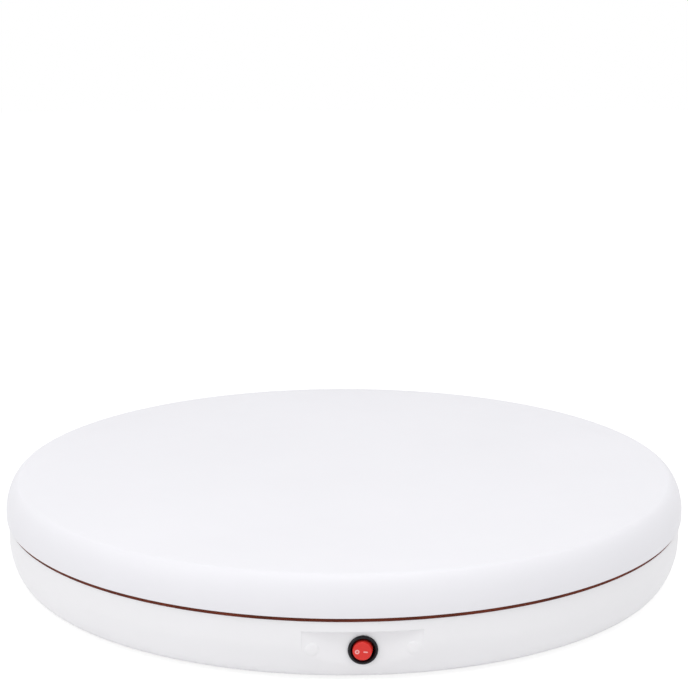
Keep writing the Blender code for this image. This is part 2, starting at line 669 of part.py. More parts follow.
# Gear motor
def make_motor():
    foot = Vector((MOTOR_X, 0, 0))
    gearbox_top = BRACKET_LOW_Z - FIT_GAP
    gearbox_low = gearbox_top - GEARBOX_T
    shaft_top = GEAR_LOW_Z + GEAR_T + SHAFT_PROUD
    rod("gearbox", foot + UP * gearbox_low, foot + UP * gearbox_top, GEARBOX_R, STEEL, RING_STEPS)
    can_top = gearbox_low - FIT_GAP
    rod("motor_can", foot + UP * MOTOR_CAN_LOW_Z, foot + UP * can_top, MOTOR_CAN_R, STEEL, RING_STEPS)
    shaft_low = gearbox_top + FIT_GAP
    rod("output_shaft", foot + UP * shaft_low, foot + UP * shaft_top, SHAFT_R, STEEL)
    x, y = BRACKET_HALF_X, BRACKET_HALF_Y
    outlines = [[Vector((-x, -y, 0)), Vector((x, -y, 0)), Vector((x, y, 0)), Vector((-x, y, 0))]]
    outlines += [circle_points((0, 0, 0), BRACKET_HOLE_R, SMALL_STEPS)]
    outlines += [circle_points((0, side * POST_Y, 0), SCREW_HOLE_R, TINY_STEPS) for side in (-1, 1)]
    plate("motor_bracket", outlines, BRACKET_LOW_Z, BRACKET_T, STEEL, MOTOR_X)
    for i, side in enumerate((-1, 1), 1):
        spot = Vector((MOTOR_X, side * POST_Y, 0))
        post_low = FLOOR_Z + FIT_GAP
        rod(f"motor_post_{i}", spot + UP * post_low, spot + UP * gearbox_top, POST_R, BRASS, HEX_STEPS)
        seat, tip = BRACKET_LOW_Z + BRACKET_T + FIT_GAP, BRACKET_LOW_Z
        profile = [(0, seat + SCREW_HEAD_T), (SCREW_HEAD_TOP_R, seat + SCREW_HEAD_T), (SCREW_HEAD_R, seat)]
        profile += [(SCREW_SHANK_R, seat), (SCREW_SHANK_R, tip), (0, tip)]
        place = Matrix.Translation(spot)
        turned_part(f"bracket_screw_{i}", profile, STEEL, TINY_STEPS, place=place)


# Support rollers
def make_rollers():
    size = (FORK_WIDTH, FORK_DEPTH, FORK_TOP_Z - FORK_LOW_Z)
    blank = box("fork", (0, 0, (FORK_TOP_Z + FORK_LOW_Z) / 2), size)
    slot_top = FORK_TOP_Z + SLOT_PAST
    slot_size = (SLOT_WIDTH, 2 * FORK_DEPTH, slot_top - SLOT_LOW_Z)
    boolean(blank, box("fork_slot", (0, 0, (slot_top + SLOT_LOW_Z) / 2), slot_size), "DIFFERENCE")
    ends = [(side * FORK_WIDTH, 0, ROLLER_Z) for side in (-1, 1)]
    boolean(blank, rod("axle_hole", *ends, AXLE_HOLE_R, None, SMALL_STEPS), "DIFFERENCE")
    fork_mesh = evaluated_mesh(blank)
    bpy.data.objects.remove(blank)
    edge_r, edge_z = ROLLER_R - ROLLER_EDGE, ROLLER_HALF - ROLLER_EDGE
    tread = [(AXLE_HOLE_R, ROLLER_HALF), (edge_r, ROLLER_HALF), (ROLLER_R, edge_z)]
    tread += [(ROLLER_R, -edge_z), (edge_r, -ROLLER_HALF), (AXLE_HOLE_R, -ROLLER_HALF)]
    axle_half = FORK_WIDTH / 2 + AXLE_PROUD
    for i, angle in enumerate(around(ROLLER_COUNT, TURN / ROLLER_COUNT / 2), 1):
        place = Matrix.Rotation(angle, 4, "Z") @ Matrix.Translation((TRACK_R, 0, 0))
        add_mesh(f"roller_fork_{i}", fork_mesh.copy(), BLACK, place)
        axis = place @ Matrix.Translation((0, 0, ROLLER_Z)) @ Matrix.Rotation(math.pi / 2, 4, "Y")
        turned_part(f"roller_{i}", tread, NYLON, SMALL_STEPS, closed=True, place=axis)
        axle = rod(f"roller_axle_{i}", UP * -axle_half, UP * axle_half, AXLE_R, STEEL, TINY_STEPS)
        axle.matrix_world = axis


# Control board, lamps and leads
def make_electronics():
    box("control_board", BOARD_CENTRE, BOARD_SIZE, BOARD_GREEN)
    box("terminal_block", BLOCK_CENTRE, BLOCK_SIZE, NYLON)
    chip_z, receiver_z = BOARD_TOP_Z + CHIP_SIZE.z / 2, BOARD_TOP_Z + RECEIVER_SIZE.z / 2
    box("motor_driver_chip", (CHIP_X, UPPER_ROW_Y, chip_z), CHIP_SIZE, BLACK)
    box("radio_receiver", (RECEIVER_X, UPPER_ROW_Y, receiver_z), RECEIVER_SIZE, BOARD_GREEN)
    spot = Vector((0, UPPER_ROW_Y, BOARD_TOP_Z))
    rod("capacitor", spot, spot + UP * CAPACITOR_T, CAPACITOR_R, BLACK)
    top = LED_LOW_Z + LED_T
    profile = [(LED_IN_R, top), (LED_OUT_R, top), (LED_OUT_R, LED_LOW_Z), (LED_IN_R, LED_LOW_Z)]
    strip = turned(profile, RING_STEPS, closed=True)
    centre = Vector(((LED_IN_R + LED_OUT_R) / 2, 0, top - LED_SINK + LED_SIZE.z / 2))
    lamps = [(centre, LED_SIZE, angle) for angle in around(LED_COUNT, TURN / LED_COUNT / 4)]
    boolean(strip, add_mesh("lamps", box_mesh(lamps)), "UNION")
    finished(strip, "led_ring", NYLON)


def spline_through(points):
    """Points on a smooth curve through the route's own points."""
    padded = [2 * points[0] - points[1], *points, 2 * points[-1] - points[-2]]
    found = []
    for a, b, c, d in zip(padded, padded[1:], padded[2:], padded[3:]):
        for i in range(LEAD_SPAN_POINTS):
            t = i / LEAD_SPAN_POINTS
            bend = (2 * a - 5 * b + 4 * c - d) * t**2
            twist = (3 * b - a - 3 * c + d) * t**3
            found.append((2 * b + (c - a) * t + bend + twist) / 2)
    return [*found, points[-1]]


def lead(name, route):
    curve = bpy.data.curves.new(name, "CURVE")
    curve.dimensions = "3D"
    curve.bevel_depth = LEAD_R
    curve.bevel_resolution = 1
    curve.use_fill_caps = True
    points = spline_through([Vector(point) for point in route])
    spline = curve.splines.new("POLY")
    spline.points.add(len(points) - 1)
    for point, place in zip(spline.points, points):
        point.co = (*place, 1)
    obj = bpy.data.objects.new("lead", curve)
    HELPERS.objects.link(obj)
    finished(obj, name, LEAD_RED)


def in_mm(*points):
    return [Vector(point) * MM for point in points]


def make_leads(switch_back_y, jack_back_y):
    into = Vector((0, LEAD_STRAIGHT, 0))
    supply_end = Vector((-TERMINAL_X, switch_back_y + LEAD_GAP, CONTROL_Z))
    load_start = Vector((TERMINAL_X, switch_back_y + LEAD_GAP, CONTROL_Z))
    jack_start = Vector((0, jack_back_y - LEAD_GAP, CONTROL_Z))
    wall_run = [polar(213 * MM, math.radians(degrees), 11 * MM) for degrees in range(110, 251, 20)]
    route = [jack_start, jack_start - into, *in_mm((-22, 236, 17)), *wall_run]
    lead("supply_lead", [*route, *in_mm((-30, -228, 17)), supply_end + into, supply_end])

    stub = Vector((0, LEAD_STUB, 0))
    block_front = Vector((0, BLOCK_CENTRE.y - BLOCK_SIZE.y / 2 - LEAD_GAP, BLOCK_CENTRE.z))
    load, motor, lamp = (block_front + Vector((x * MM, 0, 0)) for x in (8, 15, -15))
    route = [load_start, load_start + into, *in_mm((6, -222, 15), (8, -185, 13))]
    lead("switched_lead", [*route, load - stub, load])
    can = Vector((MOTOR_X - MOTOR_CAN_R - LEAD_GAP, 0, 20 * MM))
    route = [motor, motor - stub, *in_mm((34, -172, 14), (58, -130, 11), (62, -80, 11), (60, -30, 13))]
    lead("motor_lead", [*route, can - Vector((LEAD_STUB, 0, 0)), can])
    strip_end = Vector((-27 * MM, -187 * MM, LED_LOW_Z + LED_T + LEAD_GAP))
    route = [lamp, lamp - stub, *in_mm((-22, -176, 17), (-27, -187, 13))]
    lead("lamp_lead", [*route, strip_end])


def hang(axis_name, foot, names):
    """Parents the named pieces to an empty on the axis that they turn about."""
    axis = bpy.data.objects.new(axis_name, None)
    axis.location = foot
    PARTS.objects.link(axis)
    bpy.context.view_layer.update()
    for name in names:
        piece = bpy.data.objects[name]
        piece.parent = axis
        piece.matrix_parent_inverse = axis.matrix_world.inverted()


def main():
    make_platter_shell()
    make_gears()
    make_bearing()
    make_base_shell()
    make_base_trim()
    switch_back_y = make_switch()
    jack_back_y = make_jack()
    make_motor()
    make_rollers()
    make_electronics()
    make_leads(switch_back_y, jack_back_y)
    platter_pieces = ["platter_shell", "platter_gear", "spindle_bush", "upper_race"]
    platter_pieces += [f"gear_screw_{i}" for i in range(1, GEAR_SCREW_COUNT + 1)]
    hang("platter_axis", Vector((0, 0, 0)), platter_pieces)
    hang("pinion_axis", Vector((MOTOR_X, 0, 0)), ["drive_pinion", "output_shaft"])


main()
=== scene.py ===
"""A white motorised photography turntable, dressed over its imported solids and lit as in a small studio."""

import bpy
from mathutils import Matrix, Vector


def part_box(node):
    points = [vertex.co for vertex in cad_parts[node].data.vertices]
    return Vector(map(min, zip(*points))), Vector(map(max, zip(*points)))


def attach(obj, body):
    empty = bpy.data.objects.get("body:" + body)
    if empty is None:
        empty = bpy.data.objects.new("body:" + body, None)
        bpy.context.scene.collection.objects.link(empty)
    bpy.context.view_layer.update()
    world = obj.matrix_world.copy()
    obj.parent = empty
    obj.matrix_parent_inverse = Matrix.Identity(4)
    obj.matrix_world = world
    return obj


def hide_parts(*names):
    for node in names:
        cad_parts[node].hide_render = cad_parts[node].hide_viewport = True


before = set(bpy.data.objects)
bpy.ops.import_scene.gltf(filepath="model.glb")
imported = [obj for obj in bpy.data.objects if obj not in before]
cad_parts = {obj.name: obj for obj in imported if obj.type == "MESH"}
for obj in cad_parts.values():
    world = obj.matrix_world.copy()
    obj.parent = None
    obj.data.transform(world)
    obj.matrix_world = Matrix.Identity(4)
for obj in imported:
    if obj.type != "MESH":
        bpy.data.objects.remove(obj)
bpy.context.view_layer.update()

import math

import bmesh
import bpy
from mathutils import Matrix, Vector

bl_info = {
    "name": "Photography turntable",
    "version": (1, 0, 0),
    "blender": (4, 5, 0),
    "location": "View3D > Sidebar > Turntable",
    "description": "Builds the visible pieces, finishes and studio of a motorised photography turntable",
    "category": "Object",
}

MM = 0.001
TAU = 2 * math.pi
FRONT, BACK = -1, 1

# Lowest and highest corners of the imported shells
PLATTER_LOW, PLATTER_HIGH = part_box("platter_shell")
BASE_LOW, BASE_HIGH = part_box("base_shell")

# Columns round turned meshes
COLUMNS = 192
PANEL_COLUMNS = 40
SWITCH_COLUMNS = 96
FINE_COLUMNS = 64
ROD_COLUMNS = 48
SCREW_COLUMNS = 32
PIN_COLUMNS = 24


def length(name, description, default):
    return bpy.props.FloatProperty(
        name=name, description=description, default=default, unit="LENGTH", subtype="DISTANCE", precision=5
    )


def colour(name, description, default):
    return bpy.props.FloatVectorProperty(
        name=name, description=description, default=default, size=3, subtype="COLOR", min=0, max=1
    )


def angle(name, description, degrees):
    return bpy.props.FloatProperty(
        name=name, description=description, default=math.radians(degrees), unit="ROTATION", subtype="ANGLE"
    )


class TurntableSizes(bpy.types.PropertyGroup):
    """Sizes of the visible pieces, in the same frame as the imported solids."""

    platter_radius: length("Platter radius", "Outer radius of the turning platter", PLATTER_HIGH.x)
    platter_top: length("Platter top", "Height of the flat top above the table", PLATTER_HIGH.z)
    platter_lip: length("Platter lip", "Height of the platter's lower edge", PLATTER_LOW.z)
    flat_radius: length("Flat radius", "Radius of the flat part of the top", 287.2 * MM)
    shoulder_foot: length("Shoulder foot", "Height where the shoulder meets the upright rim", 57.9 * MM)
    base_radius: length("Base radius", "Outer radius of the base", BASE_HIGH.x)
    base_rim: length("Base rim", "Height of the base's upper edge", BASE_HIGH.z)
    base_underside: length("Base underside", "Height of the base's underside", BASE_LOW.z)
    base_foot_radius: length("Base foot radius", "Radius of the flat underside", 286.4 * MM)
    belly_top: length("Belly top", "Height where the base's wall starts to round in", 31.3 * MM)
    wall: length("Wall", "Thickness of the moulded walls", 3 * MM)
    edge_round: length("Edge rounding", "Radius of the moulded edges at the seam", 0.45 * MM)
    panel_top: length("Panel top", "Height of the panel's upper edge", 41.4 * MM)
    panel_wall: length("Panel wall", "Thickness of the wall behind each panel", 3.2 * MM)
    front_panel: length("Front panel", "Distance from the axis to the front panel", 294.2 * MM)
    front_half: length("Front panel half width", "Half the width of the front panel", 45 * MM)
    back_panel: length("Back panel", "Distance from the axis to the back panel", 294.8 * MM)
    back_half: length("Back panel half width", "Half the width of the back panel", 28 * MM)
    control_height: length("Control height", "Height of the switch and the socket", 26.3 * MM)
    plug_height: length("Plug height", "Height of the plugs beside the switch", 27.2 * MM)
    plug_offset: length("Plug offset", "Distance from the switch to each plug", 37.4 * MM)
    rocker_tilt: angle("Rocker tilt", "How far the rocker leans to its off side", 7)


class TurntableColours(bpy.types.PropertyGroup):
    """Colours of the finishes, in scene linear values."""

    platter_white: colour("Platter white", "Moulded plastic of the platter", (0.835, 0.83, 0.867))
    # A shade paler than the platter's white, so that the base's wall renders brighter than the platter's rim
    # just above the seam.
    base_white: colour("Base white", "Moulded plastic of the base", (0.875, 0.87, 0.892))
    seam_brown: colour("Seam brown", "Felt ring in the seam", (0.13, 0.027, 0.014))
    switch_black: colour("Switch black", "Moulded body of the switch and the socket", (0.009, 0.0085, 0.011))
    rocker_red: colour("Rocker red", "Rocker of the switch", (0.72, 0.035, 0.028))
    mark_white: colour("Mark white", "Printed marks on the rocker", (0.9, 0.42, 0.42))
    foot_grey: colour("Foot grey", "Rubber of the feet", (0.035, 0.035, 0.036))
    steel: colour("Steel", "Turned and pressed steel pieces", (0.56, 0.56, 0.58))
    brass: colour("Brass", "Turned brass pieces", (0.72, 0.52, 0.24))
    nylon: colour("Nylon", "Moulded gears and rollers", (0.72, 0.71, 0.66))
    board_green: colour("Board green", "Solder mask of the circuit boards", (0.015, 0.16, 0.05))
    lead_red: colour("Lead red", "Insulation of the leads", (0.45, 0.02, 0.02))


def sizes():
    return bpy.context.scene.turntable_sizes


def colours():
    return bpy.context.scene.turntable_colours


# Finishes
def new_finish(name):
    """An empty node material with a Principled shader, and a function that adds linked nodes to it."""
    material = bpy.data.materials.new(name)
    material.use_nodes = True
    tree = material.node_tree
    shader = tree.nodes["Principled BSDF"]

    def add(kind, links=(), **values):
        node = tree.nodes.new(kind)
        for setting, value in values.items():
            setattr(node, setting, value)
        for source, target in links:
            tree.links.new(source, node.inputs[target])
        return node

    return material, tree, shader, add


def noise(add, vector, scale, detail=2.0, roughness=0.5):
    """Noise of a given number of features per metre."""
    node = add("ShaderNodeTexNoise", [(vector, "Vector")])
    node.inputs["Scale"].default_value = scale
    node.inputs["Detail"].default_value = detail
    node.inputs["Roughness"].default_value = roughness
    return node.outputs["Fac"]


def spread(add, value, low, high, from_low=0.3, from_high=0.7):
    """Spreads the usual middle range of a noise over low to high."""
    node = add("ShaderNodeMapRange", [(value, "Value")])
    node.inputs["From Min"].default_value = from_low
    node.inputs["From Max"].default_value = from_high
    node.inputs["To Min"].default_value = low
    node.inputs["To Max"].default_value = high
    return node.outputs["Result"]


def two_tone(add, factor, first, second):
    """A colour between two tones."""
    node = add("ShaderNodeMix", data_type="RGBA")
    sockets = [socket for socket in node.inputs if socket.type == "RGBA"]
    sockets[0].default_value = (*first, 1)
    sockets[1].default_value = (*second, 1)
    node.id_data.links.new(factor, node.inputs["Factor"])
    return [socket for socket in node.outputs if socket.type == "RGBA"][0]


def shade(base, amount):
    return tuple(min(1.0, channel * amount) for channel in base)


def bump_from(add, height, strength, distance):
    node = add("ShaderNodeBump", [(height, "Height")])
    node.inputs["Strength"].default_value = strength
    node.inputs["Distance"].default_value = distance
    return node.outputs["Normal"]


def moulded_plastic(name, base, roughness, drift, grain, specular):
    """Satin moulded plastic: slow tone drift, uneven gloss and a fine eroded mould grain."""
    material, tree, shader, add = new_finish(name)
    place = add("ShaderNodeTexCoord").outputs["Object"]
    clouds = noise(add, place, scale=9, detail=3)
    tone = two_tone(add, spread(add, clouds, 0, 1), shade(base, 1 - drift), shade(base, 1 + drift))
    tree.links.new(tone, shader.inputs["Base Color"])
    patches = noise(add, place, scale=38, detail=4, roughness=0.6)
    gloss = spread(add, patches, roughness - 0.04, roughness + 0.05)
    tree.links.new(gloss, shader.inputs["Roughness"])
    erosion = noise(add, place, scale=grain, detail=2, roughness=0.6)
    relief = bump_from(add, erosion, strength=0.12, distance=0.02 * MM)
    tree.links.new(relief, shader.inputs["Normal"])
    shader.inputs["Specular IOR Level"].default_value = specular
    return material


def turned_metal(name, base, roughness):
    """Machined metal with fine turning marks round the upright axis and a slight tarnish."""
    material, tree, shader, add = new_finish(name)
    place = add("ShaderNodeTexCoord").outputs["Object"]
    stretch = add("ShaderNodeMapping", [(place, "Vector")])
    stretch.inputs["Scale"].default_value = (0.15, 0.15, 1)
    marks = noise(add, stretch.outputs["Vector"], scale=2520, detail=2)
    tarnish = noise(add, place, scale=60, detail=4, roughness=0.6)
    tone = two_tone(add, spread(add, tarnish, 0, 1), shade(base, 0.9), shade(base, 1.06))
    tree.links.new(tone, shader.inputs["Base Color"])
    tree.links.new(spread(add, marks, roughness - 0.08, roughness + 0.1), shader.inputs["Roughness"])
    relief = bump_from(add, marks, strength=0.15, distance=0.02 * MM)
    tree.links.new(relief, shader.inputs["Normal"])
    shader.inputs["Metallic"].default_value = 1.0
    return material


def felt(name, base):
    """Pressed felt: short tangled fibres with a soft edge sheen."""
    material, tree, shader, add = new_finish(name)
    place = add("ShaderNodeTexCoord").outputs["Object"]
    fibres = noise(add, place, scale=1400, detail=5, roughness=0.7)
    patch = noise(add, place, scale=40, detail=2)
    mixed = add("ShaderNodeMath", [(fibres, 0), (patch, 1)], operation="MULTIPLY").outputs["Value"]
    tone = two_tone(add, spread(add, mixed, 0, 1, 0.12, 0.4), shade(base, 0.6), shade(base, 1.5))
    tree.links.new(tone, shader.inputs["Base Color"])
    relief = bump_from(add, fibres, strength=0.6, distance=0.2 * MM)
    tree.links.new(relief, shader.inputs["Normal"])
    shader.inputs["Roughness"].default_value = 0.95
    shader.inputs["Specular IOR Level"].default_value = 0.2
    shader.inputs["Sheen Weight"].default_value = 0.05
    return material


def rubber(name, base):
    """Matt rubber with a fine bloom."""
    material, tree, shader, add = new_finish(name)
    place = add("ShaderNodeTexCoord").outputs["Object"]
    bloom = noise(add, place, scale=120, detail=4, roughness=0.6)
    tone = two_tone(add, spread(add, bloom, 0, 1), shade(base, 0.8), shade(base, 1.4))
    tree.links.new(tone, shader.inputs["Base Color"])
    tree.links.new(spread(add, bloom, 0.75, 0.92), shader.inputs["Roughness"])
    pores = noise(add, place, scale=1800, detail=2)
    tree.links.new(bump_from(add, pores, strength=0.2, distance=0.05 * MM), shader.inputs["Normal"])
    return material


def circuit_board(name, base):
    """Solder mask over a grid of tracks, with the bare laminate a shade paler between them."""
    material, tree, shader, add = new_finish(name)
    place = add("ShaderNodeTexCoord").outputs["Object"]
    tracks = add("ShaderNodeTexBrick", [(place, "Vector")])
    tracks.inputs["Scale"].default_value = 90
    tracks.inputs["Mortar Size"].default_value = 0.012
    tracks.inputs["Color1"].default_value = (*shade(base, 0.85), 1)
    tracks.inputs["Color2"].default_value = (*shade(base, 1.0), 1)
    tracks.inputs["Mortar"].default_value = (*shade(base, 1.9), 1)
    tree.links.new(tracks.outputs["Color"], shader.inputs["Base Color"])
    tree.links.new(spread(add, noise(add, place, scale=300), 0.3, 0.45), shader.inputs["Roughness"])
    relief = bump_from(add, tracks.outputs["Fac"], strength=0.3, distance=0.05 * MM)
    tree.links.new(relief, shader.inputs["Normal"])
    return material


# Maker and colour, then a plastic's roughness, tone drift, grains per metre and specular level,
# or a metal's roughness
FINISHES = {
    "platter_white": (moulded_plastic, "platter_white", 0.46, 0.008, 2600, 0.3),
    "base_white": (moulded_plastic, "base_white", 0.46, 0.008, 2600, 0.3),
    "switch_black": (moulded_plastic, "switch_black", 0.32, 0.15, 2600, 0.2),
    "rocker_red": (moulded_plastic, "rocker_red", 0.22, 0.06, 3200, 0.25),
    "mark_white": (moulded_plastic, "mark_white", 0.5, 0.04, 5200, 0.5),
    "nylon": (moulded_plastic, "nylon", 0.48, 0.03, 2600, 0.5),
    "lead_insulation": (moulded_plastic, "lead_red", 0.45, 0.1, 2600, 0.5),
    "steel": (turned_metal, "steel", 0.3),
    "brass": (turned_metal, "brass", 0.28),
    "seam_felt": (felt, "seam_brown"),
    "foot_rubber": (rubber, "foot_grey"),
    "circuit_board": (circuit_board, "board_green"),
}
made_finishes = {}


def finish(name):
    """The named finish, made the first time it is asked for."""
    if name not in made_finishes:
        maker, colour_name, *values = FINISHES[name]
        made_finishes[name] = maker(name, getattr(colours(), colour_name), *values)
    return made_finishes[name]


def dress_node(node, finish_name):
    """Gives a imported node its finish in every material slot."""
    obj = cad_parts[node]
    if not obj.material_slots:
        obj.data.materials.append(finish(finish_name))
    for material_slot in obj.material_slots:
        material_slot.material = finish(finish_name)


# Mesh helpers
ON_AXIS = 1e-9
LEAST_ROUNDING = 1e-6
# The most of an outline's side that one rounded corner may take
CORNER_SHARE = 0.45


def polar(radius, theta, z=0.0):
    return Vector((radius * math.cos(theta), radius * math.sin(theta), z))


def even_angles(count):
    return [TAU * i / count for i in range(count)]


def in_metres(points):
    return [(r * MM, z * MM) for r, z in points]


def lathe(name, rows, angles=None, closed=False, place=None):
    """Turns rows of (radius, height, ...) about Z, from the top outwards; radius 0 closes an end."""
    angles = angles or even_angles(FINE_COLUMNS)
    place = place or (lambda row, theta: polar(row[0], theta, row[1]))
    work = bmesh.new()
    grid = []
    for row in rows:
        if row[0] <= ON_AXIS:
            grid.append([work.verts.new(place(row, 0.0))] * len(angles))
        else:
            grid.append([work.verts.new(place(row, theta)) for theta in angles])
    pairs = list(zip(grid, grid[1:])) + ([(grid[-1], grid[0])] if closed else [])
    for upper, lower in pairs:
        for j in range(len(angles)):
            k = (j + 1) % len(angles)
            ring = [upper[j], lower[j], lower[k], upper[k]]
            corners = [v for i, v in enumerate(ring) if v not in ring[:i]]
            if len(corners) > 2:
                work.faces.new(corners)
    mesh = bpy.data.meshes.new(name)
    work.to_mesh(mesh)
    work.free()
    return mesh


def add_piece(name, mesh, finish_name, body, replaced=(), place=None, sharp=32):
    """Links a mesh as a piece of the object, with its finish, its body and the nodes it stands for."""
    mesh.shade_smooth()
    mesh.set_sharp_from_angle(angle=math.radians(sharp))
    mesh.materials.clear()
    mesh.materials.append(finish(finish_name))
    obj = bpy.data.objects.new(name, mesh)
    bpy.context.scene.collection.objects.link(obj)
    if place is not None:
        obj.matrix_world = place
    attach(obj, body)
    if replaced:
        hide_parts(*replaced)
    return obj


def rods(name, ends):
    """One mesh of closed rods, each from a low end to a high end with a radius."""
    work = bmesh.new()
    for low, high, radius in ends:
        axis = Vector(high) - Vector(low)
        middle = (Vector(low) + Vector(high)) / 2
        turn = Vector((0, 0, 1)).rotation_difference(axis).to_matrix().to_4x4()
        bmesh.ops.create_cone(
            work,
            cap_ends=True,
            segments=ROD_COLUMNS,
            radius1=radius,
            radius2=radius,
            depth=axis.length,
            matrix=Matrix.Translation(middle) @ turn,
        )
    mesh = bpy.data.meshes.new(name)
    work.to_mesh(mesh)
    work.free()
    return mesh


def boxes(name, places):
    """One mesh of boxes, each with a centre, a size and a turn about Z."""
    work = bmesh.new()
    for centre, size, turn in places:
        matrix = Matrix.Rotation(turn, 4, "Z") @ Matrix.Translation(centre) @ Matrix.Diagonal((*size, 1))
        bmesh.ops.create_cube(work, size=1, matrix=matrix)
    mesh = bpy.data.meshes.new(name)
    work.to_mesh(mesh)
    work.free()
    return mesh


def combined(mesh, *steps):
    """The mesh after Boolean steps of (operation, other mesh)."""
    scene = bpy.context.scene
    carrier = bpy.data.objects.new("carrier", mesh)
    scene.collection.objects.link(carrier)
    helpers = []
    for operation, other in steps:
        helper = bpy.data.objects.new("helper", other)
        scene.collection.objects.link(helper)
        helpers.append(helper)
        modifier = carrier.modifiers.new(operation, "BOOLEAN")
        modifier.operation = operation
        modifier.object = helper
    bpy.context.view_layer.update()
    graph = bpy.context.evaluated_depsgraph_get()
    result = bpy.data.meshes.new_from_object(carrier.evaluated_get(graph))
    for obj in [carrier, *helpers]:
        bpy.data.objects.remove(obj)
    return result


def rounded(points, radius, steps=4):
    """An outline with its corners rounded, apart from its two ends."""
    found = [points[0]]
    for i in range(1, len(points) - 1):
        before, here, after = (Vector(points[k]) for k in (i - 1, i, i + 1))
        into, out = before - here, after - here
        reach = min(radius, into.length * CORNER_SHARE, out.length * CORNER_SHARE)
        if reach < LEAST_ROUNDING:
            found.append(tuple(here))
            continue
        start, end = here + into.normalized() * reach, here + out.normalized() * reach
        for k in range(steps + 1):
            t = k / steps
            found.append(tuple(start * (1 - t) ** 2 + here * 2 * t * (1 - t) + end * t**2))
    found.append(points[-1])
    return found


def shoulder(in_r, high_z, out_r, low_z, power, steps):
    """A rounded corner that runs out and down from (in_r, high_z) to (out_r, low_z)."""
    found = []
    for i in range(steps + 1):
        t = math.pi / 2 * i / steps
        r = in_r + (out_r - in_r) * math.sin(t) ** (2 / power)
        z = low_z + (high_z - low_z) * max(0.0, math.cos(t)) ** (2 / power)
        found.append((r, z))
    return found


def facing(side, distance, height, x=0.0):
    """Places local +Z out of the front or back panel, with local +Y up."""
    out = Vector((0, side, 0))
    up = Vector((0, 0, 1))
    right = up.cross(out)
    turn = Matrix((right, up, out)).transposed().to_4x4()
    return Matrix.Translation((x, side * distance, height)) @ turn


# Platter
PLATE_T = 3.5 * MM
SHOULDER_POWER = 1.8
CROWN_STEPS, COVE_STEPS = 26, 10
TRACK_IN_R, TRACK_OUT_R, TRACK_LOW_Z = 226 * MM, 244 * MM, 76.5 * MM
HUB_R, HUB_LOW_Z = 62 * MM, 69.4 * MM
BUSH_R, BUSH_TOP_Z = 10 * MM, 78.4 * MM
TOP_RINGS_MM = (0, 70, 140, 210, 260)
RIB_COUNT = 12
RIB_T, RIB_LENGTH, RIB_MIDDLE_R = 3 * MM, 168 * MM, 143 * MM
RIB_LOW_Z, RIB_BITE = 71 * MM, 1 * MM
INNER_EDGE = 0.6 * MM


def platter_mesh():
    s = sizes()
    plate_low = s.platter_top - PLATE_T
    inner_r = s.platter_radius - s.wall
    cove_r = s.flat_radius - s.wall
    crown_ends = (s.flat_radius, s.platter_top, s.platter_radius, s.shoulder_foot)
    crown = shoulder(*crown_ends, SHOULDER_POWER, CROWN_STEPS)
    cove = shoulder(cove_r, plate_low, inner_r, s.shoulder_foot, SHOULDER_POWER, COVE_STEPS)
    lip = rounded(
        [
            (s.platter_radius, s.shoulder_foot),
            (s.platter_radius, s.platter_lip),
            (inner_r, s.platter_lip),
            (inner_r, s.shoulder_foot),
        ],
        s.edge_round,
    )
    under = rounded(
        [
            (cove_r, plate_low),
            (TRACK_OUT_R, plate_low),
            (TRACK_OUT_R, TRACK_LOW_Z),
            (TRACK_IN_R, TRACK_LOW_Z),
            (TRACK_IN_R, plate_low),
            (HUB_R, plate_low),
            (HUB_R, HUB_LOW_Z),
            (BUSH_R, HUB_LOW_Z),
            (BUSH_R, BUSH_TOP_Z),
            (0, BUSH_TOP_Z),
        ],
        INNER_EDGE,
        steps=2,
    )
    rings = [(r * MM, s.platter_top) for r in TOP_RINGS_MM]
    rows = [*rings, *crown, *lip[1:-1], *reversed(cove), *under[1:]]
    rib_top = plate_low + RIB_BITE
    centre = Vector((RIB_MIDDLE_R, 0, (RIB_LOW_Z + rib_top) / 2))
    size = Vector((RIB_LENGTH, RIB_T, rib_top - RIB_LOW_Z))
    turns = [TAU * (i + 0.5) / RIB_COUNT for i in range(RIB_COUNT)]
    ribs = boxes("platter_ribs", [(centre, size, turn) for turn in turns])
    return combined(lathe("platter_cover", rows, even_angles(COLUMNS)), ("UNION", ribs))


class TURNTABLE_OT_platter(bpy.types.Operator):
    """Builds the turning platter with its rounded shoulder, hub, ribs and roller track"""

    bl_idname = "turntable.platter"
    bl_label = "Platter"

    def execute(self, context):
        mesh = platter_mesh()
        add_piece("platter_cover", mesh, "platter_white", "platter", ["platter_shell"])
        return {"FINISHED"}


# Base
OUTSIDE, INSIDE, PLAIN = "outside", "inside", "plain"
# A pull in metres that always reaches the panel's plane
WHOLE = 1.0
BELLY_POWER = 1.6
BELLY_STEPS, INNER_BELLY_STEPS = 18, 8
PANEL_EDGE, PANEL_SIDE_SLACK = 0.12 * MM, 0.05 * MM
EDGE_CLEARANCE = 6
INNER_WALL_Z = 36 * MM
BACKING_RISE, BACKING_EDGE, RIM_CLEARANCE = 2 * MM, 0.4 * MM, 1 * MM
SPINDLE_HOLE_R, SPINDLE_SEAT_Z = 8.3 * MM, 10 * MM
BOSS_R, BOSS_TOP_Z = 46 * MM, 46 * MM
FLOOR_RINGS_MM = (120, 200, 260)
UNDERSIDE_RINGS_MM = (275, 220, 140, 60, 0)
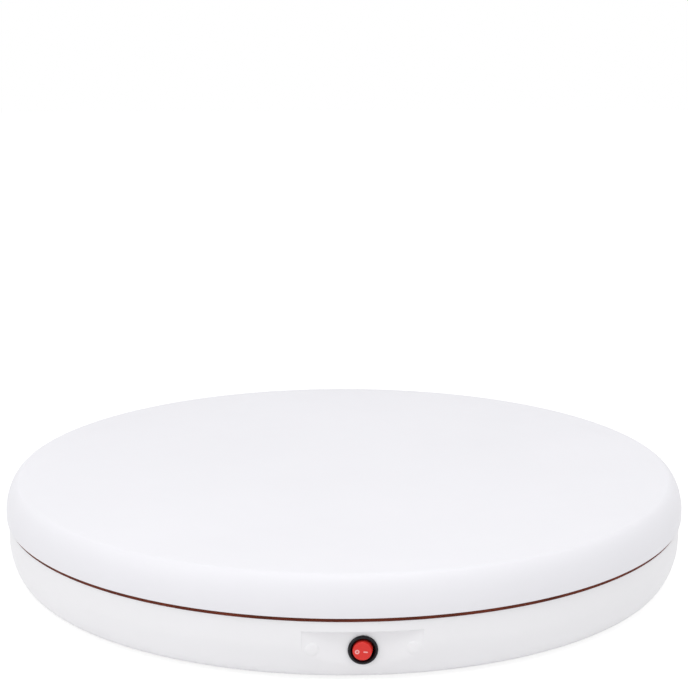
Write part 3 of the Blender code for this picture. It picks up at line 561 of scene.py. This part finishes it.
# Rise above the panel's upper edge, and how far the wall is pulled in there
PANEL_LIP_MM = ((0.42, 0.0), (0.2, 0.05), (0.08, 0.17), (0.02, 0.4))
PANEL_DROPS_MM = (0, 0.6, 3, 6)
STANDOFF_X, STANDOFF_Y = (-35 * MM, 35 * MM), (-150 * MM, -110 * MM)
STANDOFF_R, STANDOFF_TOP_Z, STANDOFF_SUNK = 3.5 * MM, 13.7 * MM, 2 * MM
SWITCH_HOLE_R, SOCKET_HOLE_R, PLUG_HOLE_R = 10.2 * MM, 5.9 * MM, 4.9 * MM
HOLE_REACH = 12 * MM
PLUG_EDGE = 0.4 * MM
PLUG_OUTLINE_MM = (
    (0, 0.75),
    (3, 0.65),
    (4.6, 0.35),
    (5.1, 0),
    (4.8, -0.1),
    (4.6, -0.4),
    (4.6, -2.8),
    (0, -2.8),
)


def panels():
    """(side, distance from the axis, half width) of the front and back panels."""
    s = sizes()
    return [(FRONT, s.front_panel, s.front_half), (BACK, s.back_panel, s.back_half)]


def base_angles():
    """Even columns round the base, closer across each panel, with a pair at each of its side edges."""
    s = sizes()
    ranges = []
    for side, _, half in panels():
        ranges.append((side * math.pi / 2 % TAU, math.asin(half / s.base_radius)))
    edge = PANEL_EDGE / s.base_radius
    found = []
    for theta in even_angles(COLUMNS):
        if all(abs(theta - middle) > reach + EDGE_CLEARANCE * edge for middle, reach in ranges):
            found.append(theta)
    for middle, reach in ranges:
        found += [middle + reach * (2 * i / PANEL_COLUMNS - 1) for i in range(PANEL_COLUMNS + 1)]
        found += [middle - reach - edge, middle + reach + edge]
    return sorted(found)


def base_rows():
    """(radius, height, side of the wall, how far a panel may pull the row in)."""
    s = sizes()

    def belly(inset, steps):
        """The wall below the belly's top, which rounds in to the underside."""
        found = []
        overhang, drop = s.base_radius - s.base_foot_radius, s.belly_top - s.base_underside
        for i in range(steps + 1):
            t = math.pi / 2 * i / steps
            r = s.base_foot_radius + overhang * max(0.0, math.cos(t)) ** (2 / BELLY_POWER)
            z = s.belly_top - drop * math.sin(t) ** (2 / BELLY_POWER)
            found.append((r - inset, max(z, s.base_underside + inset)))
        return found

    floor_z = s.base_underside + s.wall
    inner_r = s.base_radius - s.wall
    boss = [
        (0, SPINDLE_SEAT_Z),
        (SPINDLE_HOLE_R, SPINDLE_SEAT_Z),
        (SPINDLE_HOLE_R, BOSS_TOP_Z),
        (BOSS_R, BOSS_TOP_Z),
        (BOSS_R, floor_z),
    ]
    rows = [(r, z, PLAIN, 0) for r, z in rounded(boss, INNER_EDGE, steps=2)]
    rows += [(r * MM, floor_z, PLAIN, 0) for r in FLOOR_RINGS_MM]
    inner = [point for point in belly(s.wall, INNER_BELLY_STEPS) if point[1] > floor_z + RIM_CLEARANCE]
    rows += [(s.base_foot_radius - 2 * s.wall, floor_z, PLAIN, 0)]
    rows += [(r, z, INSIDE, WHOLE) for r, z in reversed(inner)]
    inner_top = s.panel_top + BACKING_RISE
    rows += [(inner_r, z, INSIDE, WHOLE) for z in (INNER_WALL_Z, inner_top)]
    rows += [(inner_r, inner_top + BACKING_EDGE, PLAIN, 0)]
    rim = rounded(
        [
            (inner_r, inner_top + RIM_CLEARANCE),
            (inner_r, s.base_rim),
            (s.base_radius, s.base_rim),
            (s.base_radius, s.panel_top + RIM_CLEARANCE),
        ],
        s.edge_round,
    )
    rows += [(r, z, PLAIN, 0) for r, z in rim]
    for rise, pull in PANEL_LIP_MM:
        rows.append((s.base_radius, s.panel_top + rise * MM, OUTSIDE, pull * MM))
    rows += [(s.base_radius, s.panel_top - drop * MM, OUTSIDE, WHOLE) for drop in PANEL_DROPS_MM]
    rows += [(r, z, OUTSIDE, WHOLE) for r, z in belly(0, BELLY_STEPS)]
    rows += [(r * MM, s.base_underside, PLAIN, 0) for r in UNDERSIDE_RINGS_MM]
    return rows


def base_point(row, theta):
    """A point of the base's wall, pulled in to the plane of a panel where it lies outside it."""
    s = sizes()
    r, z, side_of_wall, pull = row
    point = polar(r, theta, z)
    if side_of_wall == PLAIN:
        return point
    for side, distance, half in panels():
        middle = side * math.pi / 2 % TAU
        reach = math.asin(half / s.base_radius)
        if abs(theta - middle) > reach + PANEL_SIDE_SLACK / s.base_radius:
            continue
        plane = distance if side_of_wall == OUTSIDE else distance - s.panel_wall
        depth = abs(point.y)
        point.y = side * max(min(depth, plane), depth - pull)
    return point


def base_mesh():
    s = sizes()
    foot_z = s.base_underside + STANDOFF_SUNK
    standoffs = []
    for x in STANDOFF_X:
        for y in STANDOFF_Y:
            standoffs.append(((x, y, foot_z), (x, y, STANDOFF_TOP_Z), STANDOFF_R))
    holes = []
    spots = [(FRONT, 0, s.control_height, SWITCH_HOLE_R), (BACK, 0, s.control_height, SOCKET_HOLE_R)]
    spots += [(FRONT, x, s.plug_height, PLUG_HOLE_R) for x in (-s.plug_offset, s.plug_offset)]
    for side, x, z, radius in spots:
        middle = s.front_panel if side == FRONT else s.back_panel
        ends = [(x, side * (middle + reach), z) for reach in (-HOLE_REACH, HOLE_REACH)]
        holes.append((*ends, radius))
    shell = lathe("base_cover", base_rows(), base_angles(), place=base_point)
    steps = [("UNION", rods("standoffs", standoffs)), ("DIFFERENCE", rods("holes", holes))]
    return combined(shell, *steps)


class TURNTABLE_OT_base(bpy.types.Operator):
    """Builds the base with its flat panels, its switch and socket holes and the plugs beside the switch"""

    bl_idname = "turntable.base"
    bl_label = "Base"

    def execute(self, context):
        s = sizes()
        add_piece("base_cover", base_mesh(), "base_white", "base", ["base_shell"])
        for name, x in (("panel_plug_left", -s.plug_offset), ("panel_plug_right", s.plug_offset)):
            mesh = lathe(name, rounded(in_metres(PLUG_OUTLINE_MM), PLUG_EDGE))
            place = facing(FRONT, s.front_panel, s.plug_height, x)
            add_piece(name + "_cap", mesh, "base_white", "base", [name], place)
        return {"FINISHED"}


# Seam
SEAM_IN_R = 289 * MM
SEAM_INSET = 0.2 * MM
SEAM_BITE = 0.05 * MM


class TURNTABLE_OT_seam(bpy.types.Operator):
    """Builds the brown felt ring that closes the seam between platter and base"""

    bl_idname = "turntable.seam"
    bl_label = "Seam ring"

    def execute(self, context):
        s = sizes()
        low, high = s.base_rim - SEAM_BITE, s.platter_lip - SEAM_INSET
        out_r = s.base_radius - SEAM_INSET
        start = (SEAM_IN_R, high)
        outline = [start, (out_r, high), (out_r, low), (SEAM_IN_R, low), start]
        rows = rounded(outline, SEAM_INSET)[:-1]
        mesh = lathe("seam_ring", rows, even_angles(COLUMNS), closed=True)
        add_piece("seam_ring", mesh, "seam_felt", "base", ["seam_seal"], sharp=60)
        return {"FINISHED"}


# Switch
SWITCH_OUTLINE_MM = (
    (0, -9),
    (8.7, -9),
    (8.7, 1.3),
    (9.4, 2.2),
    (10.3, 2.2),
    (11.2, 1.3),
    (11.2, 0),
    (9.8, 0),
    (9.8, -14),
    (0, -14),
)
SWITCH_EDGE = 0.5 * MM
PIVOT_DEPTH = 2.6 * MM
ROCKER_R = 7.8 * MM
ROCKER_FACE_R = 7.0 * MM
ROCKER_VALLEY = 6.2 * MM
ROCKER_DEPTH = 4.5 * MM
ROCKER_EDGE, ROCKER_EDGE_STEPS = 0.6 * MM, 4
ROCKER_FOOT_EDGE = 0.4 * MM
ROCKER_SIDE_Z = 1.5 * MM
ROCKER_RINGS_MM = (0, 1, 2, 3, 4, 5, 6)
VALLEY_SOFTNESS = 0.5 * MM
RING_POINTS, BAR_END_STEPS = 40, 20
MARK_LIFT = 0.07 * MM
MARK_Y = -0.3 * MM
OFF_MARK_X, OFF_MARK_R, OFF_MARK_BARE_R = -3.6 * MM, 1.7 * MM, 0.75 * MM
ON_MARK_X, ON_MARK_HALF, ON_MARK_R = 2.6 * MM, 1.65 * MM, 0.48 * MM


def rocker_height(x):
    """Height of the rocker's face over its pivot: a shallow V with a softened valley."""
    across = math.sqrt(x * x + VALLEY_SOFTNESS**2) - VALLEY_SOFTNESS / 2
    return ROCKER_VALLEY + math.tan(sizes().rocker_tilt) * across


def rocker_place():
    s = sizes()
    upright = facing(FRONT, s.front_panel - PIVOT_DEPTH, s.control_height)
    return upright @ Matrix.Rotation(-s.rocker_tilt, 4, "Y")


def rocker_mesh():
    """The rocker as rows of (radius, height, whether the height is above its face)."""
    rows = [(r * MM, 0.0, True) for r in ROCKER_RINGS_MM]
    for i in range(ROCKER_EDGE_STEPS + 1):
        t = math.pi / 2 * i / ROCKER_EDGE_STEPS
        inset, drop = ROCKER_EDGE * (1 - math.sin(t)), ROCKER_EDGE * (1 - math.cos(t))
        rows.append((ROCKER_FACE_R - inset, -drop, True))
    rows += [(ROCKER_R, ROCKER_SIDE_Z, False), (ROCKER_R, -ROCKER_DEPTH + ROCKER_FOOT_EDGE, False)]
    rows += [(ROCKER_R - ROCKER_FOOT_EDGE, -ROCKER_DEPTH, False), (0, -ROCKER_DEPTH, False)]

    def place(row, theta):
        r, z, on_face = row
        point = polar(r, theta, z)
        if on_face:
            point.z += rocker_height(point.x)
        return point

    return lathe("rocker_button", rows, even_angles(SWITCH_COLUMNS), place=place)


def mark_mesh(name, outer, inner=None):
    """A thin printed mark laid on the rocker's face, filled or with an inner loop left bare."""
    work = bmesh.new()

    def loop(points, up):
        return [work.verts.new((x, y, rocker_height(x) + up)) for x, y in points]

    def wall(high, low):
        for i in range(len(high)):
            k = (i + 1) % len(high)
            work.faces.new([high[k], high[i], low[i], low[k]])

    top, bottom = loop(outer, MARK_LIFT), loop(outer, -MARK_LIFT)
    wall(top, bottom)
    if inner:
        top_in, bottom_in = loop(inner, MARK_LIFT), loop(inner, -MARK_LIFT)
        wall(top_in, top)
        wall(bottom_in, top_in)
        wall(bottom, bottom_in)
    else:
        work.faces.new(top)
        work.faces.new(bottom[::-1])
    mesh = bpy.data.meshes.new(name)
    work.to_mesh(mesh)
    work.free()
    return mesh


def ring_loop(x, y, radius):
    """Points round a circle on the rocker's face."""
    return [(x + radius * math.cos(t), y + radius * math.sin(t)) for t in even_angles(RING_POINTS)]


def bar_loop(x, y, half_length, radius):
    """Points round a bar with round ends on the rocker's face."""
    reach = half_length - radius
    found = []
    for end in (1, -1):
        for i in range(BAR_END_STEPS + 1):
            t = math.pi * (i / BAR_END_STEPS - 0.5 * end)
            found.append((x + end * reach + radius * math.cos(t), y + radius * math.sin(t)))
    return found


class TURNTABLE_OT_switch(bpy.types.Operator):
    """Builds the round rocker switch: its body and bezel, the red rocker and its off and on marks"""

    bl_idname = "turntable.switch"
    bl_label = "Switch"

    def execute(self, context):
        s = sizes()
        outline = rounded(in_metres(SWITCH_OUTLINE_MM), SWITCH_EDGE)
        mesh = lathe("switch_body", outline, even_angles(SWITCH_COLUMNS))
        place = facing(FRONT, s.front_panel, s.control_height)
        add_piece("switch_body", mesh, "switch_black", "base", ["switch_housing"], place)
        mesh, place = rocker_mesh(), rocker_place()
        stands_for = ["switch_rocker"]
        add_piece("rocker_button", mesh, "rocker_red", "rocker", stands_for, place, sharp=40)
        off_ring = [ring_loop(OFF_MARK_X, MARK_Y, radius) for radius in (OFF_MARK_R, OFF_MARK_BARE_R)]
        off_mark = mark_mesh("off_mark", *off_ring)
        on_mark = mark_mesh("on_mark", bar_loop(ON_MARK_X, MARK_Y, ON_MARK_HALF, ON_MARK_R))
        for mesh in (off_mark, on_mark):
            add_piece(mesh.name, mesh, "mark_white", "rocker", place=place)
        dress_node("switch_terminal_supply", "brass")
        dress_node("switch_terminal_load", "brass")
        return {"FINISHED"}


# Socket and feet
SOCKET_FACE_MM = (
    (0, -10),
    (3.2, -10),
    (3.2, 1.2),
    (3.8, 1.8),
    (6.3, 1.8),
    (7, 1.2),
    (7, 0.3),
    (5.5, 0.3),
)
SOCKET_TAIL_MM = ((5.5, -15), (0, -15))
THREAD_COUNT = 9
THREAD_TOP_MM, THREAD_PITCH_MM = -1.0, 1.2
THREAD_CREST_MM, THREAD_ROOT_MM = 5.5, 5.1
PIN_OUTLINE_MM = ((0, -2.6), (0.8, -2.7), (1.05, -3.2), (1.05, -9.7), (0, -9.7))
FINE_EDGE = 0.3 * MM
FOOT_COUNT, FOOT_RING_R, FOOT_EDGE = 6, 250 * MM, 0.5 * MM
FOOT_OUTLINE_MM = (
    (0, 3.02),
    (13, 3.02),
    (13, 0.9),
    (12.2, 0),
    (9.6, 0),
    (9.0, 0.7),
    (4.2, 0.7),
    (3.6, 0),
    (0, 0),
)
SCREW_OUTLINE_MM = ((0, 3.02), (3.4, 3.02), (3.4, 2.3), (2.6, 1.5), (0, 1.3))
RECESS_Z = 1.4 * MM
RECESS_SIZE = Vector((3.6 * MM, 0.7 * MM, 1.2 * MM))
ROLLER_COUNT, ROLLER_RING_R = 4, 235 * MM
MOTOR_POST_X, MOTOR_POST_Y = 90 * MM, (-30 * MM, 30 * MM)


class TURNTABLE_OT_socket(bpy.types.Operator):
    """Builds the power socket at the back with its flange, barrel and centre pin"""

    bl_idname = "turntable.socket"
    bl_label = "Power socket"

    def execute(self, context):
        s = sizes()
        threads = []
        for i in range(THREAD_COUNT):
            z = THREAD_TOP_MM - THREAD_PITCH_MM * i
            threads += [(THREAD_CREST_MM, z), (THREAD_ROOT_MM, z - THREAD_PITCH_MM / 2)]
        outline = in_metres([*SOCKET_FACE_MM, *threads, *SOCKET_TAIL_MM])
        place = facing(BACK, s.back_panel, s.control_height)
        mesh = lathe("socket_body", rounded(outline, FINE_EDGE, steps=3))
        add_piece("socket_body", mesh, "switch_black", "base", ["jack_housing"], place)
        outline = rounded(in_metres(PIN_OUTLINE_MM), FINE_EDGE)
        mesh = lathe("socket_pin", outline, even_angles(PIN_COLUMNS))
        add_piece("socket_pin", mesh, "steel", "base", ["jack_pin"], place)
        dress_node("jack_nut", "steel")
        return {"FINISHED"}


class TURNTABLE_OT_feet(bpy.types.Operator):
    """Builds the rubber feet, and the screws that hold the roller forks and motor posts from below"""

    bl_idname = "turntable.feet"
    bl_label = "Feet and screws"

    def execute(self, context):
        outline = rounded(in_metres(FOOT_OUTLINE_MM), FOOT_EDGE)
        for i in range(FOOT_COUNT):
            mesh = lathe(f"rubber_foot_{i + 1}", outline)
            place = Matrix.Translation(polar(FOOT_RING_R, TAU * (i + 0.5) / FOOT_COUNT))
            add_piece(mesh.name, mesh, "foot_rubber", "base", [f"foot_{i + 1}"], place)
        outline = rounded(in_metres(SCREW_OUTLINE_MM), FINE_EDGE)
        spots = [polar(ROLLER_RING_R, TAU * (i + 0.5) / ROLLER_COUNT) for i in range(ROLLER_COUNT)]
        spots += [Vector((MOTOR_POST_X, y, 0)) for y in MOTOR_POST_Y]
        for i, spot in enumerate(spots, 1):
            mesh = lathe("screw", outline, even_angles(SCREW_COLUMNS))
            for turn in (0, math.pi / 2):
                blade = boxes("recess", [(Vector((0, 0, RECESS_Z)), RECESS_SIZE, turn)])
                mesh = combined(mesh, ("DIFFERENCE", blade))
            place = Matrix.Translation(spot)
            add_piece(f"underside_screw_{i}", mesh, "steel", "base", place=place)
        return {"FINISHED"}


# Pieces inside
def numbered(name, count):
    return [f"{name}_{i}" for i in range(1, count + 1)]


DRIVE_FINISHES = {
    "steel": [
        "lower_race",
        "upper_race",
        "spindle",
        "gearbox",
        "motor_can",
        "motor_bracket",
        "output_shaft",
        *numbered("bracket_screw", 2),
        *numbered("gear_screw", 3),
        *numbered("roller_axle", ROLLER_COUNT),
    ],
    "brass": ["ball_cage", "spindle_bush", "drive_pinion", *numbered("motor_post", 2)],
    "nylon": ["platter_gear", *numbered("roller", ROLLER_COUNT)],
    "switch_black": numbered("roller_fork", ROLLER_COUNT),
}
BOARD_FINISHES = {
    "circuit_board": ["control_board", "radio_receiver"],
    "nylon": ["terminal_block", "led_ring"],
    "switch_black": ["motor_driver_chip", "capacitor"],
    "lead_insulation": ["supply_lead", "switched_lead", "motor_lead", "lamp_lead"],
}


def dress_nodes(finishes):
    for finish_name, nodes in finishes.items():
        for node in nodes:
            dress_node(node, finish_name)


class TURNTABLE_OT_drive(bpy.types.Operator):
    """Finishes the bearing, gears, motor and support rollers inside the base"""

    bl_idname = "turntable.drive"
    bl_label = "Drive"

    def execute(self, context):
        dress_nodes(DRIVE_FINISHES)
        return {"FINISHED"}


class TURNTABLE_OT_electronics(bpy.types.Operator):
    """Finishes the control board, the lamps and the leads inside the base"""

    bl_idname = "turntable.electronics"
    bl_label = "Electronics"

    def execute(self, context):
        dress_nodes(BOARD_FINISHES)
        return {"FINISHED"}


# Studio
PHOTO_WIDTH_PX = 688
CAMERA_AIM = Vector((0, 0, 3 * MM))
CAMERA_DISTANCE = 1.5
CAMERA_AZIMUTH = math.radians(-2.7)
CAMERA_ELEVATION = math.radians(19.07)
CAMERA_PITCH = math.radians(11.79)
CAMERA_FOCAL_PX = 1628.5
SENSOR_WIDTH = 36.0
CAMERA_REACH = 100
WORLD_STRENGTH = 0.56
FLOOR_HALF = 6.0
FLOOR_PAPER, FLOOR_TINT, FLOOR_GLOW = 0.95, 0.3, 0.84
LIGHT_AIM = Vector((0, 0, 0.05))
# Name, place in metres, width and height in metres, power in watts
SOFTBOXES = (
    ("left_light", (-1.3, -0.9, 1.0), (0.9, 0.9), 5.0),
    ("right_light", (1.3, -0.9, 1.0), (0.9, 0.9), 2.6),
    ("front_light", (0, -1.1, 3.0), (1.8, 0.7), 29),
    ("top_light", (0.1, 0.5, 3.0), (2.0, 2.0), 11.5),
)


def add_camera():
    data = bpy.data.cameras.new("studio_camera")
    data.sensor_fit = "HORIZONTAL"
    data.sensor_width = SENSOR_WIDTH
    data.lens = CAMERA_FOCAL_PX / PHOTO_WIDTH_PX * SENSOR_WIDTH
    data.clip_end = CAMERA_REACH
    camera = bpy.data.objects.new("studio_camera", data)
    flat = math.cos(CAMERA_ELEVATION) * CAMERA_DISTANCE
    back = Vector((math.sin(CAMERA_AZIMUTH) * flat, -math.cos(CAMERA_AZIMUTH) * flat, 0))
    camera.location = CAMERA_AIM + back + Vector((0, 0, math.sin(CAMERA_ELEVATION) * CAMERA_DISTANCE))
    camera.rotation_euler = (math.pi / 2 - CAMERA_PITCH, 0, CAMERA_AZIMUTH)
    bpy.context.scene.collection.objects.link(camera)
    bpy.context.scene.camera = camera


def add_softbox(name, place, size, power):
    data = bpy.data.lights.new(name, "AREA")
    data.shape = "RECTANGLE"
    data.size, data.size_y = size
    data.energy = power
    lamp = bpy.data.objects.new(name, data)
    lamp.location = place
    lamp.rotation_euler = (LIGHT_AIM - Vector(place)).to_track_quat("-Z", "Y").to_euler()
    bpy.context.scene.collection.objects.link(lamp)


def seen_ray(nodes, links):
    """1 for rays that show the background: camera, glossy and transmission rays."""
    path = nodes.new("ShaderNodeLightPath")
    first = nodes.new("ShaderNodeMath")
    first.operation = "MAXIMUM"
    links.new(path.outputs["Is Camera Ray"], first.inputs[0])
    links.new(path.outputs["Is Glossy Ray"], first.inputs[1])
    second = nodes.new("ShaderNodeMath")
    second.operation = "MAXIMUM"
    links.new(first.outputs["Value"], second.inputs[0])
    links.new(path.outputs["Is Transmission Ray"], second.inputs[1])
    return second.outputs["Value"]


def set_world():
    """White surroundings that light the object evenly and plainly, and show as a white backdrop."""
    world = bpy.data.worlds.new("studio_world")
    world.use_nodes = True
    bpy.context.scene.world = world
    nodes, links = world.node_tree.nodes, world.node_tree.links
    background = nodes["Background"]
    background.inputs["Color"].default_value = (1, 1, 1, 1)
    choice = nodes.new("ShaderNodeMix")
    choice.data_type = "FLOAT"
    links.new(seen_ray(nodes, links), choice.inputs["Factor"])
    choice.inputs["A"].default_value = WORLD_STRENGTH
    choice.inputs["B"].default_value = 1.0
    links.new(choice.outputs["Result"], background.inputs["Strength"])


def floor_material():
    """Pale paper that reads as white, and still takes the object's soft shadow."""
    material = bpy.data.materials.new("floor_paper")
    material.use_nodes = True
    nodes, links = material.node_tree.nodes, material.node_tree.links
    output = nodes["Material Output"]
    nodes.remove(nodes["Principled BSDF"])
    paper = nodes.new("ShaderNodeBsdfDiffuse")
    paper.inputs["Color"].default_value = (FLOOR_PAPER, FLOOR_PAPER, FLOOR_PAPER, 1)
    tint = nodes.new("ShaderNodeBsdfDiffuse")
    tint.inputs["Color"].default_value = (FLOOR_TINT, FLOOR_TINT, FLOOR_TINT, 1)
    glow = nodes.new("ShaderNodeEmission")
    glow.inputs["Strength"].default_value = FLOOR_GLOW
    seen = nodes.new("ShaderNodeAddShader")
    links.new(tint.outputs[0], seen.inputs[0])
    links.new(glow.outputs[0], seen.inputs[1])
    choice = nodes.new("ShaderNodeMixShader")
    links.new(seen_ray(nodes, links), choice.inputs[0])
    links.new(paper.outputs[0], choice.inputs[1])
    links.new(seen.outputs[0], choice.inputs[2])
    links.new(choice.outputs[0], output.inputs["Surface"])
    return material


class TURNTABLE_OT_stage(bpy.types.Operator):
    """Sets up the pale floor, the soft lights, the white surroundings and the camera"""

    bl_idname = "turntable.stage"
    bl_label = "Studio"

    def execute(self, context):
        context.scene.view_settings.view_transform = "Standard"
        corners = [(x * FLOOR_HALF, y * FLOOR_HALF, 0) for x, y in ((-1, -1), (1, -1), (1, 1), (-1, 1))]
        mesh = bpy.data.meshes.new("studio_floor")
        mesh.from_pydata(corners, [], [(0, 1, 2, 3)])
        mesh.materials.append(floor_material())
        floor = bpy.data.objects.new("studio_floor", mesh)
        context.scene.collection.objects.link(floor)
        set_world()
        for softbox in SOFTBOXES:
            add_softbox(*softbox)
        add_camera()
        return {"FINISHED"}


class TURNTABLE_PT_panel(bpy.types.Panel):
    """Lists the turntable's pieces and the values behind them"""

    bl_idname = "TURNTABLE_PT_panel"
    bl_label = "Photography turntable"
    bl_space_type = "VIEW_3D"
    bl_region_type = "UI"
    bl_category = "Turntable"

    def draw(self, context):
        layout = self.layout
        for operator in OPERATORS:
            layout.operator(operator.bl_idname)
        for group in (context.scene.turntable_sizes, context.scene.turntable_colours):
            column = layout.column()
            for name in group.__annotations__:
                column.prop(group, name)


OPERATORS = (
    TURNTABLE_OT_platter,
    TURNTABLE_OT_base,
    TURNTABLE_OT_seam,
    TURNTABLE_OT_switch,
    TURNTABLE_OT_socket,
    TURNTABLE_OT_feet,
    TURNTABLE_OT_drive,
    TURNTABLE_OT_electronics,
    TURNTABLE_OT_stage,
)
CLASSES = (TurntableSizes, TurntableColours, *OPERATORS, TURNTABLE_PT_panel)


def register():
    for cls in CLASSES:
        bpy.utils.register_class(cls)
    bpy.types.Scene.turntable_sizes = bpy.props.PointerProperty(type=TurntableSizes)
    bpy.types.Scene.turntable_colours = bpy.props.PointerProperty(type=TurntableColours)


def unregister():
    del bpy.types.Scene.turntable_colours
    del bpy.types.Scene.turntable_sizes
    for cls in reversed(CLASSES):
        bpy.utils.unregister_class(cls)


def main():
    register()
    bpy.ops.turntable.platter()
    bpy.ops.turntable.base()
    bpy.ops.turntable.seam()
    bpy.ops.turntable.switch()
    bpy.ops.turntable.socket()
    bpy.ops.turntable.feet()
    bpy.ops.turntable.drive()
    bpy.ops.turntable.electronics()
    bpy.ops.turntable.stage()


if __name__ == "__main__":
    main()
